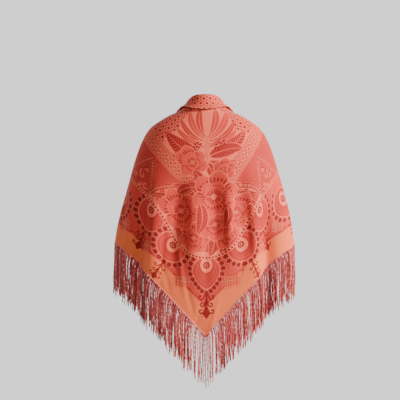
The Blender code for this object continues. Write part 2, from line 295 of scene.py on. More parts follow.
CHAIN = [(0, 545), (26, 543), (51, 536), (70, 527), (86, 515), (102, 499), (116, 478), (133, 444),
         (160, 413), (193, 386), (238, 363), (286, 342), (340, 318), (400, 292)]
BAND_LEFT = [(-330, 116), (-221, 186), (-85, 277), (-50, 301)]
BAND_RIGHT = [(290, 54), (184, 174), (98, 269), (66, 304)]
BAND_HALF = 17.0
SQUARES_LINE = [(188, 371), (164, 351), (140, 338), (115, 328), (88, 318), (60, 309), (36, 299), (10, 292)]
POST_LINE = [(184, 372), (177, 257)]
RAIL_LINE = [(177, 257), (297, 322), (345, 350)]
INSERT = [(190, 280), (281, 337), (197, 374)]


class Face:
    """Points of the cloth, where a motif takes them to be, and the tones painted on them.

    "mid" and "dark" hold distances in mm, positive inside a motif of that tone, and "tint" a lighter or
    deeper shade of it, from 1 to -1.
    """

    def __init__(self, x, y, layers):
        self.x = x
        self.y = y
        self.layers = layers

    def near(self, x, y, reach):
        return np.nonzero((np.abs(self.x - x) < reach) & (np.abs(self.y - y) < reach))[0]

    def paint(self, tone, inside, where=slice(None)):
        mid = self.layers["mid"]
        dark = self.layers["dark"]
        if tone == "dark":
            dark[where] = np.maximum(dark[where], inside)
            return
        dark[where] = np.minimum(dark[where], -inside)
        if tone == "mid":
            mid[where] = np.maximum(mid[where], inside)
        else:
            mid[where] = np.minimum(mid[where], -inside)

    def shade(self, value, inside, where=slice(None)):
        tint = self.layers["tint"]
        tint[where] = np.where(inside > 0, value, tint[where])


def new_layers(count):
    return {"mid": np.full(count, -FAR), "dark": np.full(count, -FAR), "tint": np.zeros(count)}


def beside(x, y, line):
    """How far each point lies to the side of a line of points, and how far along the line."""
    nearest = np.full(x.shape, np.inf)
    offset = np.zeros(x.shape)
    run = np.zeros(x.shape)
    passed = 0.0
    for (ax, ay), (bx, by) in zip(line, line[1:]):
        length = np.hypot(bx - ax, by - ay)
        ux, uy = (bx - ax) / length, (by - ay) / length
        along = np.clip((x - ax) * ux + (y - ay) * uy, 0, length)
        dx = x - ax - along * ux
        dy = y - ay - along * uy
        apart = dx**2 + dy**2
        closer = apart < nearest
        nearest = np.where(closer, apart, nearest)
        side = np.where(ux * dy - uy * dx < 0, -1, 1)
        offset = np.where(closer, side * np.sqrt(apart), offset)
        run = np.where(closer, passed + along, run)
        passed += length
    return offset, run, passed


def bent_line(start, tip, bend, steps=10):
    """Points from start to tip along an arc that stands out to one side by bend at its middle."""
    share = np.linspace(0, 1, steps + 1)
    dx, dy = tip[0] - start[0], tip[1] - start[1]
    length = np.hypot(dx, dy)
    out = 4 * bend * share * (1 - share)
    return list(zip(start[0] + dx * share - dy / length * out, start[1] + dy * share + dx / length * out))


def spiral(x, y, radius, start, sweep, steps=14):
    """Points of a curl that winds inwards round a centre, from the angle start."""
    share = np.linspace(0, 1, steps + 1)
    angle = start + sweep * share
    reach = radius * (1 - 0.72 * share)
    return list(zip(x + reach * np.cos(angle), y + reach * np.sin(angle)))


def stroke(face, tone, line, width, taper=0.0):
    """A line of even width, or one that thins towards its end by taper."""
    xs, ys = np.array(line).T
    reach = max(np.ptp(xs), np.ptp(ys)) / 2 + width + 3
    where = face.near((xs.min() + xs.max()) / 2, (ys.min() + ys.max()) / 2, reach)
    offset, run, length = beside(face.x[where], face.y[where], line)
    face.paint(tone, width / 2 * (1 - taper * run / length) - np.abs(offset), where)


def dot(face, tone, x, y, radius):
    where = face.near(x, y, radius + 4)
    face.paint(tone, radius - np.hypot(face.x[where] - x, face.y[where] - y), where)


def blossom(face, tone, x, y, radius, turned):
    """A small flower of five blunt petals."""
    where = face.near(x, y, radius + 5)
    dx, dy = face.x[where] - x, face.y[where] - y
    edge = radius * (0.86 + 0.17 * np.cos(5 * (np.arctan2(dy, dx) - turned)))
    face.paint(tone, edge - np.hypot(dx, dy), where)


def rosette(face, x, y, radius):
    """Eight dark petals round a dark eye."""
    for petal in range(8):
        angle = petal * np.pi / 4
        px, py = x + radius * 0.72 * np.cos(angle), y + radius * 0.72 * np.sin(angle)
        dot(face, "dark", px, py, radius * 0.28)
    dot(face, "dark", x, y, radius * 0.3)


def leaf(face, start, tip, width, bend=0.0, ribs=7.0, teeth=0.0, blunt=0.8, tint=0.0, weight=0.32):
    """A leaf with a pale edge and midrib, and dark ribs that slant from the midrib to the edge."""
    line = bent_line(start, tip, bend)
    length = np.hypot(tip[0] - start[0], tip[1] - start[1])
    middle = line[len(line) // 2]
    where = face.near(middle[0], middle[1], length / 2 + width + 8)
    offset, run, total = beside(face.x[where], face.y[where], line)
    reach = np.abs(offset)
    share = run / total
    slant = run - reach * 0.75 + 0.012 * reach**2
    half = width / 2 * np.sin(np.pi * np.clip(share, 0.0, 1.0) ** blunt) ** 0.7
    half = half * (1 - teeth * (0.5 + 0.5 * np.cos(2 * np.pi * slant / ribs)) * (share > 0.12))
    inside = half - reach
    face.paint("ground", inside + 1.6 * OUTLINE, where)
    face.paint("mid", inside, where)
    face.shade(tint, inside, where)
    rib = (np.abs((slant / ribs) % 1 - 0.5) - 0.5 + weight) * ribs
    face.paint("dark", np.minimum(rib, np.minimum(inside - 1.2, reach - 1.6)), where)
    vein = 0.5 + 0.9 * (1 - share)
    face.paint("ground", np.minimum(vein - reach, inside - 2.5), where)


def petal(face, x, y, length, width, angle, ribs, rim):
    """One petal whose foot is at x, y, with a wavy pale rim and ribs that spread from the foot."""
    cx, cy = x + np.cos(angle) * length / 2, y + np.sin(angle) * length / 2
    where = face.near(cx, cy, max(length, width) * 0.62 + 5)
    dx, dy = face.x[where] - x, face.y[where] - y
    out = dx * np.cos(angle) + dy * np.sin(angle)
    side = dy * np.cos(angle) - dx * np.sin(angle)
    spread = np.arctan2(side, np.maximum(out, 0.01) + length * 0.25)
    wave = 1 + 0.045 * np.cos(spread * 11)
    share = np.hypot((out - length * 0.52) / (length * 0.5 * wave), side / (width * 0.5 * wave))
    inside = (1 - share) * min(length, width) * 0.5
    face.paint("ground", inside + rim, where)
    face.paint("mid", inside, where)
    depth = 1 - np.clip(out / length, 0, 1)
    face.shade(0.75 - 1.5 * depth, inside, where)
    face.shade(1.0, np.minimum(inside, 1.6 - inside), where)
    rib = (0.21 - 0.5 + np.abs((spread * ribs / (2 * np.pi)) % 1 - 0.5)) * 9
    face.paint("dark", np.minimum(rib, np.minimum(inside - 2.0, (depth - 0.38) * length)), where)


# Petals in each ring of a flower: foot, length and width as shares of its radius, and the pale rim in mm
PETAL_RINGS = ((0.34, 6, 0.74, 0.80, 2.0), (0.20, 5, 0.58, 0.66, 0.6), (0.08, 4, 0.40, 0.50, 0.6))
PETAL_RIBS = 22


def peony(face, x, y, radius, turned, lean=0.0):
    """A full flower: rings of overlapping petals, smaller towards a pale eye with dark dots."""
    for level, (foot, count, length, width, rim) in enumerate(PETAL_RINGS):
        shift = lean * radius * (0.5 - foot)
        for number in range(count):
            uneven = 0.11 * np.sin(3.0 * number + level)
            angle = turned + 2 * np.pi * (number + 0.5 * (level % 2)) / count + uneven
            size = radius * (1 + 0.09 * np.sin(5.0 * number + 2 * level))
            fx, fy = x + shift + size * foot * np.cos(angle), y - shift * 0.6 + size * foot * np.sin(angle)
            petal(face, fx, fy, size * length, size * width, angle, PETAL_RIBS, rim)
    ex, ey = x + lean * radius * 0.5, y - lean * radius * 0.3
    dot(face, "ground", ex, ey, radius * 0.13)
    for number in range(5):
        angle = turned + number * 1.257
        dot(face, "dark", ex + radius * 0.075 * np.cos(angle), ey + radius * 0.075 * np.sin(angle), 1.5)


def hexagon_net(face, where, x, y, pitch=NET_PITCH):
    """A net of hexagons, each with a ring and a dark dot."""
    x, y = x / pitch, y / pitch
    rise = np.sqrt(3)
    first = (x - np.round(x), y - np.round(y / rise) * rise)
    second = (x - 0.5 - np.round(x - 0.5), y - rise / 2 - np.round(y / rise - 0.5) * rise)
    nearer = np.hypot(*first) < np.hypot(*second)
    dx = np.where(nearer, first[0], second[0])
    dy = np.where(nearer, first[1], second[1])
    edge = np.maximum(np.abs(dx), np.abs(dx) / 2 + np.abs(dy) * rise / 2)
    reach = np.hypot(dx, dy) * pitch
    face.paint("mid", np.maximum((edge - 0.5) * pitch + 1.2, reach - 9.2), where)
    face.shade(-0.5, np.full(reach.shape, 1.0), where)
    face.paint("mid", 5.4 - reach, where)
    face.paint("dark", 3.9 - reach, where)


def scroll_band(face, line, half):
    """Pale curls in two rows on a deep band, with dark dots between them and lines along both sides."""
    offset, run, _ = beside(face.x, face.y, line)
    where = np.nonzero(np.abs(offset) < half + 14)[0]
    offset, run = offset[where], run[where]
    reach = np.abs(offset)
    face.paint("ground", half + 11 - reach, where)
    face.paint("mid", half - reach, where)
    face.shade(-1.0, half - reach, where)
    cell = 2 * half * 0.94
    place = (run % cell) - cell / 2
    row = reach - half * 0.5
    inner = half - 1.5 - reach
    curl = np.hypot(np.abs(place) - cell * 0.25, row)
    turn = np.arctan2(row, cell * 0.25 - np.abs(place))
    gap = np.abs(turn - 0.9) * curl - 1.6
    face.paint("ground", np.minimum(np.minimum(1.5 - np.abs(curl - half * 0.36), gap), inner), where)
    face.paint("ground", np.minimum(2.4 - curl, inner), where)
    stem = 1.4 - np.abs(np.abs(place) - 0.3 - 0.012 * reach**2)
    face.paint("ground", np.minimum(stem, inner), where)
    joint = cell / 2 - np.abs(place)
    face.paint("ground", np.minimum(5.0 - np.hypot(joint, offset), inner), where)
    face.paint("dark", 3.2 - np.hypot(joint, offset), where)
    face.paint("dark", 2.0 - np.hypot(place, offset), where)
    face.paint("mid", 1.7 - np.abs(reach - half - 4.6), where)
    face.paint("mid", 1.3 - np.abs(reach - half - 10.0), where)


def line_band(face, line, half):
    """A deep band with a row of small squares between two thin lines."""
    offset, run, length = beside(face.x, face.y, line)
    where = np.nonzero((np.abs(offset) < half + 6) & (run > 0) & (run < length))[0]
    offset, run = offset[where], run[where]
    reach = np.abs(offset)
    face.paint("ground", half + 3.4 - reach, where)
    face.paint("mid", half + 2.4 - reach, where)
    face.shade(-0.5, half + 2.4 - reach, where)
    face.paint("dark", 0.9 - np.abs(reach - half), where)
    pitch = half * 2.3
    box = np.maximum(np.abs((run % pitch) - pitch / 2), reach)
    face.paint("ground", 1.0 - np.abs(box - half * 0.55), where)


def bead_chain(face):
    """Dark beads along a pale line, which bounds the flowers."""
    offset, run, _ = beside(face.x, face.y, CHAIN)
    where = np.nonzero(np.abs(offset) < 14)[0]
    offset, run = offset[where], run[where]
    place = (run + BEAD_PITCH / 2) % BEAD_PITCH - BEAD_PITCH / 2
    face.paint("ground", 5.4 - np.abs(offset), where)
    face.paint("dark", 3.4 - np.hypot(place, offset), where)


def medallion(face, x, y, radius, outward, drop, eye):
    """A drop-shaped medallion with a rosette in a pale disc, lines round it, and dark blossoms outside.

    It points along the angle outward, is drop times as long that way as it is wide, and its disc lies
    eye of its radius back towards the chain.
    """
    where = face.near(x, y, radius * drop + 32)
    dx, dy = face.x[where] - x, face.y[where] - y
    out = dx * np.cos(outward) + dy * np.sin(outward)
    side = dy * np.cos(outward) - dx * np.sin(outward)
    power = 2.0 if drop < 1.15 else 1.55
    front = (np.abs(side) ** power + np.abs(out / drop) ** power) ** (1 / power)
    reach = np.where(out > 0, front, np.hypot(out * 0.9, side))
    beyond, _, _ = beside(face.x[where], face.y[where], CHAIN)
    clear = beyond - 6
    face.paint("mid", np.minimum(radius + 19 - reach, clear), where)
    face.shade(0.35, np.minimum(radius + 19 - reach, clear), where)
    face.paint("ground", np.minimum(1.0 - np.abs(reach - radius - 1.5), clear), where)
    face.shade(-0.1, np.minimum(radius - reach, clear), where)
    ex, ey = x - np.cos(outward) * radius * eye, y - np.sin(outward) * radius * eye
    from_eye = np.hypot((out + radius * eye) / 1.25, side)
    face.shade(-0.7, np.minimum(1.4 - np.abs(reach - radius + 5.0), clear), where)
    face.shade(-0.55, np.minimum(radius * 0.72 - reach, clear), where)
    face.shade(-0.95, np.minimum(25.5 - from_eye, clear), where)
    face.paint("ground", np.minimum(19.5 - from_eye, clear), where)
    rosette(face, ex, ey, 12.0)
    count = 15 if drop < 1.15 else 17
    for number in range(count):
        angle = (number / (count - 1) - 0.5) * np.radians(262)
        swing = radius + 11.5
        along = swing * np.cos(angle) * (drop if np.cos(angle) > 0 else 1.1)
        across = swing * np.sin(angle)
        if power < 2 and np.cos(angle) > 0:
            along *= 1 - 0.12 * np.abs(np.sin(2 * angle))
            across *= 1 - 0.16 * np.abs(np.sin(2 * angle))
        bx = x + along * np.cos(outward) - across * np.sin(outward)
        by = y + along * np.sin(outward) + across * np.cos(outward)
        if beside(np.array([bx]), np.array([by]), CHAIN)[0][0] < 9:
            continue
        blossom(face, "ground", bx, by, 10.6, angle)
        blossom(face, "dark", bx, by, 8.9, angle)


def pendant(face, x, y, outward, size):
    """Three pairs of curls on a stem, with a diamond at its end."""
    cos, sin = np.cos(outward), np.sin(outward)

    def place(along, across):
        return x + along * cos - across * sin, y + along * sin + across * cos

    def turned(points):
        return [place(px, py) for px, py in points]

    for along, reach, radius in ((18, 19, 11.0), (42, 15, 9.5), (63, 18, 11.0)):
        for way in (-1, 1):
            line = spiral(along * size, 0, radius * size, -0.5 * np.pi, 1.45 * np.pi)
            curl = [(px, way * (py + reach * size)) for px, py in line]
            stroke(face, "dark", turned([((along - 14) * size, 0)] + curl), 5.4 * size, 0.3)
            dot(face, "dark", *place((along - 2) * size, way * reach * size), 3.0 * size)
    stroke(face, "dark", turned([(0, 0), (74 * size, 0)]), 6 * size)
    tip_x, tip_y = place(74 * size, 0)
    where = face.near(tip_x, tip_y, 24 * size)
    dx, dy = face.x[where] - tip_x, face.y[where] - tip_y
    out, side = dx * cos + dy * sin, dy * cos - dx * sin
    face.paint("dark", (12 * size - np.abs(out) * 0.75 - np.abs(side)) * 0.75, where)


def squares(face, corner, across, down, columns):
    """A block of small square outlines in steps, with a dotted line under each step."""
    for row, count in enumerate(columns):
        for number in range(count):
            x = corner[0] + across * (number + 0.5) * 13.5
            y = corner[1] + down * (row + 0.5) * 14.0
            where = face.near(x, y, 10)
            box = np.maximum(np.abs(face.x[where] - x), np.abs(face.y[where] - y))
            face.paint("ground", 7.0 - box, where)
            face.paint("dark", 5.2 - box, where)
            face.paint("ground", 3.2 - box, where)
            face.paint("dark", 1.2 - box, where)

Leaf = namedtuple("Leaf", "start tip width bend ribs teeth tint")
Peony = namedtuple("Peony", "x y radius turned lean")

# The spray of flowers, from its lowest layer to its top one
FAN = [
    Leaf((-8, 172), (-98, 134), 17, -12, 60, 0.0, -0.5),
    Leaf((-6, 162), (-84, 98), 18, -16, 60, 0.0, -0.8),
    Leaf((8, 172), (100, 142), 17, 14, 60, 0.0, -0.1),
    Leaf((7, 162), (92, 108), 19, 20, 60, 0.0, -0.6),
    Leaf((-5, 156), (-52, 62), 21, -16, 60, 0.0, -0.1),
    Leaf((6, 158), (66, 66), 24, 18, 60, 0.0, 0.2),
    Leaf((-3, 152), (-18, 46), 22, -12, 60, 0.0, -0.6),
    Leaf((4, 154), (28, 44), 23, 14, 60, 0.0, -0.2),
    Leaf((-6, 182), (-56, 150), 14, -10, 60, 0.0, -0.2),
    Leaf((6, 182), (50, 146), 14, 10, 60, 0.0, -0.8),
]
UPPER_LEAVES = [
    Leaf((-30, 232), (-112, 232), 34, 8, 7.5, 0.12, -0.3),
    Leaf((-24, 212), (-134, 160), 62, -10, 8.5, 0.10, -0.6),
    Leaf((30, 206), (126, 156), 52, 14, 9.0, 0.0, 0.3),
    Leaf((12, 214), (118, 212), 46, -12, 7.5, 0.12, -0.5),
    Leaf((8, 232), (96, 244), 26, 9, 7.0, 0.12, -0.3),
    Leaf((2, 240), (22, 296), 30, -6, 7.0, 0.12, -0.6),
    Leaf((-20, 244), (-78, 284), 32, 9, 7.5, 0.12, -0.4),
]
BERRIES = [(-36, 176), (-28, 170), (-20, 176), (-32, 186), (-24, 186), (-40, 186), (-28, 195), (34, 178),
           (42, 172), (50, 176), (38, 187), (47, 186), (30, 188), (57, 170), (59, 180), (40, 196)]
LOWER_LEAVES = [
    Leaf((-6, 300), (-110, 322), 38, -12, 7.5, 0.10, -0.1),
    Leaf((-40, 330), (-172, 368), 38, -14, 7.5, 0.12, -0.5),
    Leaf((-50, 356), (-164, 396), 34, -9, 7.0, 0.12, 0.0),
    Leaf((16, 298), (112, 322), 36, 12, 7.5, 0.10, -0.1),
    Leaf((60, 328), (172, 368), 36, 14, 7.5, 0.12, -0.4),
    Leaf((90, 352), (164, 398), 38, 12, 7.0, 0.14, -0.6),
    Leaf((-84, 420), (-128, 456), 34, 6, 7.0, 0.12, -0.5),
    Leaf((112, 408), (116, 470), 34, -6, 7.0, 0.12, -0.5),
    Leaf((-14, 336), (-44, 264), 40, 12, 7.5, 0.12, -0.5),
    Leaf((44, 330), (66, 264), 36, -8, 7.5, 0.12, -0.2),
    Leaf((6, 430), (-46, 536), 42, 12, 7.5, 0.12, -0.3),
    Leaf((24, 450), (10, 540), 42, -10, 7.5, 0.14, -0.6),
    Leaf((60, 470), (46, 536), 34, -8, 7.0, 0.12, -0.2),
    Leaf((-50, 450), (-86, 512), 36, 6, 7.5, 0.12, -0.5),
]
UPPER_PEONIES = [
    Peony(56, 268, 34, 0.7, 0.0),
    Peony(-48, 240, 47, 0.2, 0.15),
]
LOWER_PEONIES = [
    Peony(-40, 484, 46, 0.9, 0.0),
    Peony(70, 482, 42, 0.3, 0.1),
    Peony(98, 408, 52, 1.2, -0.1),
    Peony(26, 440, 52, 0.5, 0.15),
    Peony(-86, 402, 60, 0.1, 0.1),
    Peony(28, 346, 68, 0.8, -0.1),
]
LATE_LEAVES = [
    Leaf((-20, 372), (-30, 470), 40, -12, 7.5, 0.12, -0.4),
    Leaf((66, 388), (56, 452), 30, -9, 7.0, 0.12, -0.6),
    Leaf((-46, 320), (-96, 350), 30, 8, 7.0, 0.12, -0.6),
]

Medallion = namedtuple("Medallion", "x y radius outward drop eye")
MEDALLIONS = [
    Medallion(322, 426, 45, 78, 1.0, 0.30),
    Medallion(186, 442, 47, 72, 1.0, 0.42),
    Medallion(114, 524, 45, 64, 1.0, 0.20),
    Medallion(0, 590, 43, 90, 1.26, 0.50),
]
Pendant = namedtuple("Pendant", "x y outward size")
PENDANTS = [
    Pendant(0, 652, 90, 1.0),
    Pendant(144, 582, 60, 0.72),
    Pendant(216, 500, 66, 0.78),
    Pendant(338, 488, 78, 0.6),
]

# Steps by which the figured field reaches into the plain border: its left, right and lower ends, and the
# squares in each row
Step = namedtuple("Step", "left right low columns")
STEPS = [
    Step(50, 101, 643, (3, 3)),
    Step(60, 121, 603, (0,)),
    Step(160, 232, 556, (4, 4)),
    Step(170, 252, 524, (0,)),
    Step(262, 310, 512, (3, 3)),
]


# Curls in the insert: centre, radius, where each starts and how far it winds
INSERT_CURLS = [
    (219, 320, 15, -1.3, 4.9),
    (206, 352, 12, 2.1, -4.6),
    (252, 327, 11, 0.2, -4.8),
    (229, 350, 8, 0.6, 4.4),
    (203, 303, 7, 2.6, 4.6),
]
INSERT_DOTS = [(198, 292), (206, 296), (236, 313), (236, 336), (203, 367), (220, 341), (266, 335),
               (219, 305)]


def box_distance(x, y, left, right, top, low):
    """Distance inside the nearest side of a box."""
    return np.minimum(np.minimum(x - left, right - x), np.minimum(y - top, low - y))


def in_insert(x, y):
    """Distance inside the three-cornered insert."""
    inside = np.full(x.shape, FAR)
    for (ax, ay), (bx, by) in zip(INSERT, INSERT[1:] + INSERT[:1]):
        length = np.hypot(bx - ax, by - ay)
        inside = np.minimum(inside, -((bx - ax) * (y - ay) - (by - ay) * (x - ax)) / length)
    return inside


# A strap leaf is widest past its middle and has no ribs
STRAP_RIBS = 40
STRAP_BLUNT = 1.3
LEAF_BLUNT = 0.8
RIB_WEIGHT = 0.25


def paint_spray(face, leaves):
    for each in leaves:
        blunt = STRAP_BLUNT if each.ribs > STRAP_RIBS else LEAF_BLUNT
        weight = 0.0 if each.ribs > STRAP_RIBS else RIB_WEIGHT
        leaf(face, each.start, each.tip, each.width, each.bend, each.ribs, each.teeth, blunt, each.tint,
             weight)


def paint_peonies(face, flowers):
    for each in flowers:
        peony(face, each.x, each.y, each.radius, each.turned, each.lean)


def paint_insert(face):
    """A pale three-cornered insert with scrolls."""
    inside = in_insert(face.x, face.y)
    face.paint("mid", inside + 9)
    face.shade(-0.4, inside + 9)
    face.paint("ground", inside + 4)
    face.paint("mid", inside - 3.0)
    face.shade(-0.5, inside - 3.0)
    for x, y, radius, start, sweep in INSERT_CURLS:
        stroke(face, "ground", spiral(x, y, radius, start, sweep), 5.0, 0.3)
    for x, y in INSERT_DOTS:
        dot(face, "dark", x, y, 2.8)


def paint_squares(face):
    for step in STEPS:
        rows = [count for count in step.columns if count]
        if rows:
            squares(face, (step.left + 3, step.low - 4 - 14 * len(rows)), 1.0, 1.0, rows)
        within = (face.x > step.left) & (face.x < step.right)
        wanted = np.nonzero(within & (np.abs(face.y - step.low) < 12))[0]
        x, y = face.x[wanted], face.y[wanted]
        place = np.abs((x % 5.0) - 2.5)
        face.paint("dark", 1.3 - np.hypot(place, y - step.low - 4.5), wanted)
        above = (face.y < step.low) & (face.y > step.low - 40)
        upright = np.nonzero(above & (np.abs(face.x - step.right) < 12))[0]
        x, y = face.x[upright], face.y[upright]
        place = np.abs((y % 5.0) - 2.5)
        face.paint("dark", 1.3 - np.hypot(place, x - step.right - 4.5), upright)


# How far the light ground round the flowers reaches to each side, at each way down the cloth: down, reach
SPRAY_EDGE = [(0, 46), (50, 47), (62, 56), (103, 80), (140, 92), (165, 132), (220, 150)]


def woven(x, y, hem):
    """Tones of the woven design at places x, y on the cloth, in mm, which lie hem mm from the fringe."""
    layers = new_layers(len(x))
    side = x - CENTRE
    u = np.where(side > 0, np.interp(side, RIGHT_PLACES, LEFT_PLACES), side)
    both = Face(np.abs(u), y, layers)
    whole = Face(u, y, layers)
    hung = Face(side, y, layers)

    left_offset, _, _ = beside(hung.x, hung.y, BAND_LEFT)
    right_offset, _, _ = beside(hung.x, hung.y, BAND_RIGHT)
    below_band = np.where(side < 0, left_offset, -right_offset)
    beyond, _, _ = beside(both.x, both.y, CHAIN)

    spray_edge = np.interp(both.y, *np.array(SPRAY_EDGE).T)
    net_zone = np.minimum(both.x - spray_edge, -below_band - BAND_HALF - 14)
    where = np.nonzero((net_zone > 0) & (y < 330))[0]
    hexagon_net(both, where, both.x[where], both.y[where])

    panel = below_band - BAND_HALF - 10
    both.paint("mid", panel)
    both.shade(-0.2, panel)
    speck = np.hypot((both.x + 6 * np.round(both.y / 11)) % 12 - 6, both.y % 11 - 5.5)
    both.shade(-1.0, np.minimum(2.1 - speck, panel))
    sides = (side < 0, side >= 0)
    for mask, line in zip(sides, (BAND_LEFT, BAND_RIGHT)):
        half_face = Face(np.where(mask, hung.x, FAR), hung.y, layers)
        scroll_band(half_face, line, BAND_HALF)

    arc = np.interp(both.x, [p[0] for p in SQUARES_LINE[::-1]], [p[1] for p in SQUARES_LINE[::-1]])
    window = np.minimum(both.y - arc, 190 - both.x)
    both.paint("ground", window)
    ripple = 4 * np.sin(whole.x / 8.3) + 3 * np.sin(whole.x / 3.9 + whole.y / 11)
    thicket = np.minimum(window - 14, -beyond - 17) + ripple
    both.paint("mid", thicket)
    both.shade(-0.4, thicket)
    line_band(both, POST_LINE, 4.5)
    line_band(both, RAIL_LINE, 4.5)
    line_band(both, SQUARES_LINE, 5.0)
    paint_insert(both)

    stroke(whole, "mid", bent_line((-4, 250), (0, 150), 4), 9)
    stroke(whole, "ground", bent_line((-4, 250), (0, 150), 4), 5)
    paint_spray(whole, FAN)
    paint_spray(whole, UPPER_LEAVES)
    for bx, by in BERRIES:
        dot(whole, "dark", bx, by, 3.7)
    paint_peonies(whole, UPPER_PEONIES)
    paint_spray(whole, LOWER_LEAVES)
    paint_peonies(whole, LOWER_PEONIES)
    paint_spray(whole, LATE_LEAVES)

    both.paint("ground", beyond)
    field = hem - BORDER
    for step in STEPS:
        box = box_distance(both.x, both.y, step.left, step.right, step.low - 60, step.low)
        field = np.maximum(field, box)
    outside = np.minimum(beyond - 5, field)
    both.paint("mid", outside)
    both.shade(0.35, outside)
    both.paint("dark", np.minimum(0.8 - np.abs(outside - 5.0), beyond - 12))
    paint_squares(both)
    for each in MEDALLIONS:
        medallion(both, each.x, each.y, each.radius, np.radians(each.outward), each.drop, each.eye)
    for each in PENDANTS:
        pendant(both, each.x, each.y, np.radians(each.outward), each.size)
    bead_chain(both)
    layers["border"] = np.minimum(BORDER - hem, beyond)
    return layers

# Grid of the cloth: columns in the back and front halves of each side, and rows from neck to hem
BACK_COLUMNS = 260
FRONT_COLUMNS = 150
ROWS = 370
SIDE_TURN = 0.5

# Turned neck edge
TURNED_TURN = 0.9333
ROLL_STEPS = 12
TURNED_ROWS = 24
EDGE_STAND_OFF = 1.1
TURNED_NET_SHIFT = (4.0, 6.0)
SCALLOP = 0.0009
SCALLOP_PITCH = 0.0085

# Corded edge along the hem and the front edges
EDGE_RADIUS = 0.0017
NECK_EDGE_RADIUS = 0.0013
FRONT_EDGE_RADIUS = 0.0014
EDGE_STEP = 0.0016
EDGE_SIDES = 7
HEM_PICOT = 0.22
NECK_PICOT = 0.12
PICOT_PITCH = 0.0062

# Fringe: twisted cords that leave the hem squarely and soon hang straight down
CORDS_A_SIDE = 240
CORD_RADIUS = 0.00145
CORD_LENGTH = 0.163
POINT_REACH = 0.030
CORD_SPREAD = 0.012
CORD_BEND = 0.016
CORD_RINGS = 30
CORD_SIDES = 7
CORD_TWIST = 0.016
CORD_SWING_X = 0.0045
CORD_SWING_Y = 0.0040
KNOT_PLACE = 0.007
KNOT_REACH = 0.003
FRINGE_SEED = 11


def add_mesh(name, points, faces, normals=None, uv=None, values=None):
    """An object from arrays of points and four-sided faces, with the values as attributes of its points."""
    mesh = bpy.data.meshes.new(name)
    mesh.from_pydata(points.tolist(), [], faces.tolist())
    mesh.shade_smooth()
    if normals is not None:
        mesh.normals_split_custom_set_from_vertices(normals.tolist())
    if uv is not None:
        corners = np.zeros(len(mesh.loops), np.int32)
        mesh.loops.foreach_get("vertex_index", corners)
        layer = mesh.uv_layers.new(name="OFBake")
        layer.uv.foreach_set("vector", uv[corners].astype(np.float32).ravel())
    for key, value in (values or {}).items():
        attribute = mesh.attributes.new(key, "FLOAT", "POINT")
        attribute.data.foreach_set("value", value.astype(np.float32))
    obj = bpy.data.objects.new(name, mesh)
    bpy.context.scene.collection.objects.link(obj)
    return obj


def grid_faces(columns, rows):
    corner = np.arange(columns * rows).reshape(columns, rows)
    faces = np.stack([corner[:-1, :-1], corner[:-1, 1:], corner[1:, 1:], corner[1:, :-1]], axis=-1)
    return faces.reshape(-1, 4)


def grid_uv(columns, rows):
    across, down = np.meshgrid(np.linspace(0, 1, columns), np.linspace(1, 0, rows), indexing="ij")
    return np.stack([across.ravel(), down.ravel()], axis=1)


def design_places(turns, around, down):
    """Where each point lies in the design, in mm, and how far it is from the hem, square to it."""
    lengths = column_length(turns)
    hem_around = around[:, -1]
    hem_slope = np.gradient(lengths, hem_around)
    hem = (lengths[:, None] - down) / np.sqrt(1 + hem_slope[:, None] ** 2)
    across = around * 1000
    below = down * 1000
    folded_back = np.clip(np.abs(across) - SIDE_FOLD, 0, None)
    shift = (column_length(1 - np.abs(turns)) - lengths) * 1000
    shift = np.where(np.abs(turns) > SIDE_TURN, shift, 0)[:, None] * np.ones(down.shape)
    blend = np.clip(folded_back / 20, 0, 1)
    x = np.sign(across) * (np.abs(across) - 2 * folded_back)
    return x, below + shift * blend, hem * 1000


def flat_cut(turns):
    """The part of the flat cut that a run of columns comes from: its width, length and area, in metres."""
    top = np.stack([np.abs(turns) ** NECK_CROWDING * NECK_HALF, neck_value("turned", turns)], axis=1)
    share = hem_share(turns)
    low = np.stack([share * CUT_HALF_WIDTH, (1 - share) * CUT_HEIGHT], axis=1)
    outline = np.concatenate((top, low[::-1]))
    x, y = outline.T
    area = abs(np.sum(x * np.roll(y, -1) - y * np.roll(x, -1))) / 2
    return np.ptp(x), np.ptp(y), area


def turned_cut():
    """The part of the flat cut that is turned out at the neck, with the roll: width, length and area."""
    turns = np.linspace(0, TURNED_TURN, 60)
    across = turns**NECK_CROWDING * NECK_HALF
    length = neck_value("turned", turns) + np.pi * neck_value("roll", turns)
    return 2 * across[-1], length.max(), 2 * np.trapz(length, across)


def edge_cord(name, line, radius, picot):
    """A corded edge along a line of points, with small beads along it where picot is more than nothing."""
    steps = np.linalg.norm(np.diff(line, axis=0), axis=1)
    run = np.concatenate(([0], np.cumsum(steps)))
    count = int(run[-1] / EDGE_STEP)
    where = np.linspace(0, run[-1], count)
    path = np.stack([np.interp(where, run, line[:, a]) for a in range(3)], axis=1)
    along = np.gradient(path, axis=0)
    along /= np.linalg.norm(along, axis=1, keepdims=True)
    side = np.cross(along, np.array([0.0, 0.0, 1.0]) + 1e-3)
    side /= np.linalg.norm(side, axis=1, keepdims=True)
    other = np.cross(along, side)
    size = radius * (1 + picot * np.cos(2 * np.pi * where / PICOT_PITCH))
    angles = np.linspace(0, 2 * np.pi, EDGE_SIDES)
    rings = (path[:, None] + size[:, None, None] * (
        np.cos(angles)[None, :, None] * side[:, None] + np.sin(angles)[None, :, None] * other[:, None]))
    uv = np.stack(np.meshgrid(where / run[-1], angles / angles[-1], indexing="ij"), axis=-1).reshape(-1, 2)
    return add_mesh(name, rings.reshape(-1, 3), grid_faces(count, EDGE_SIDES), uv=uv)


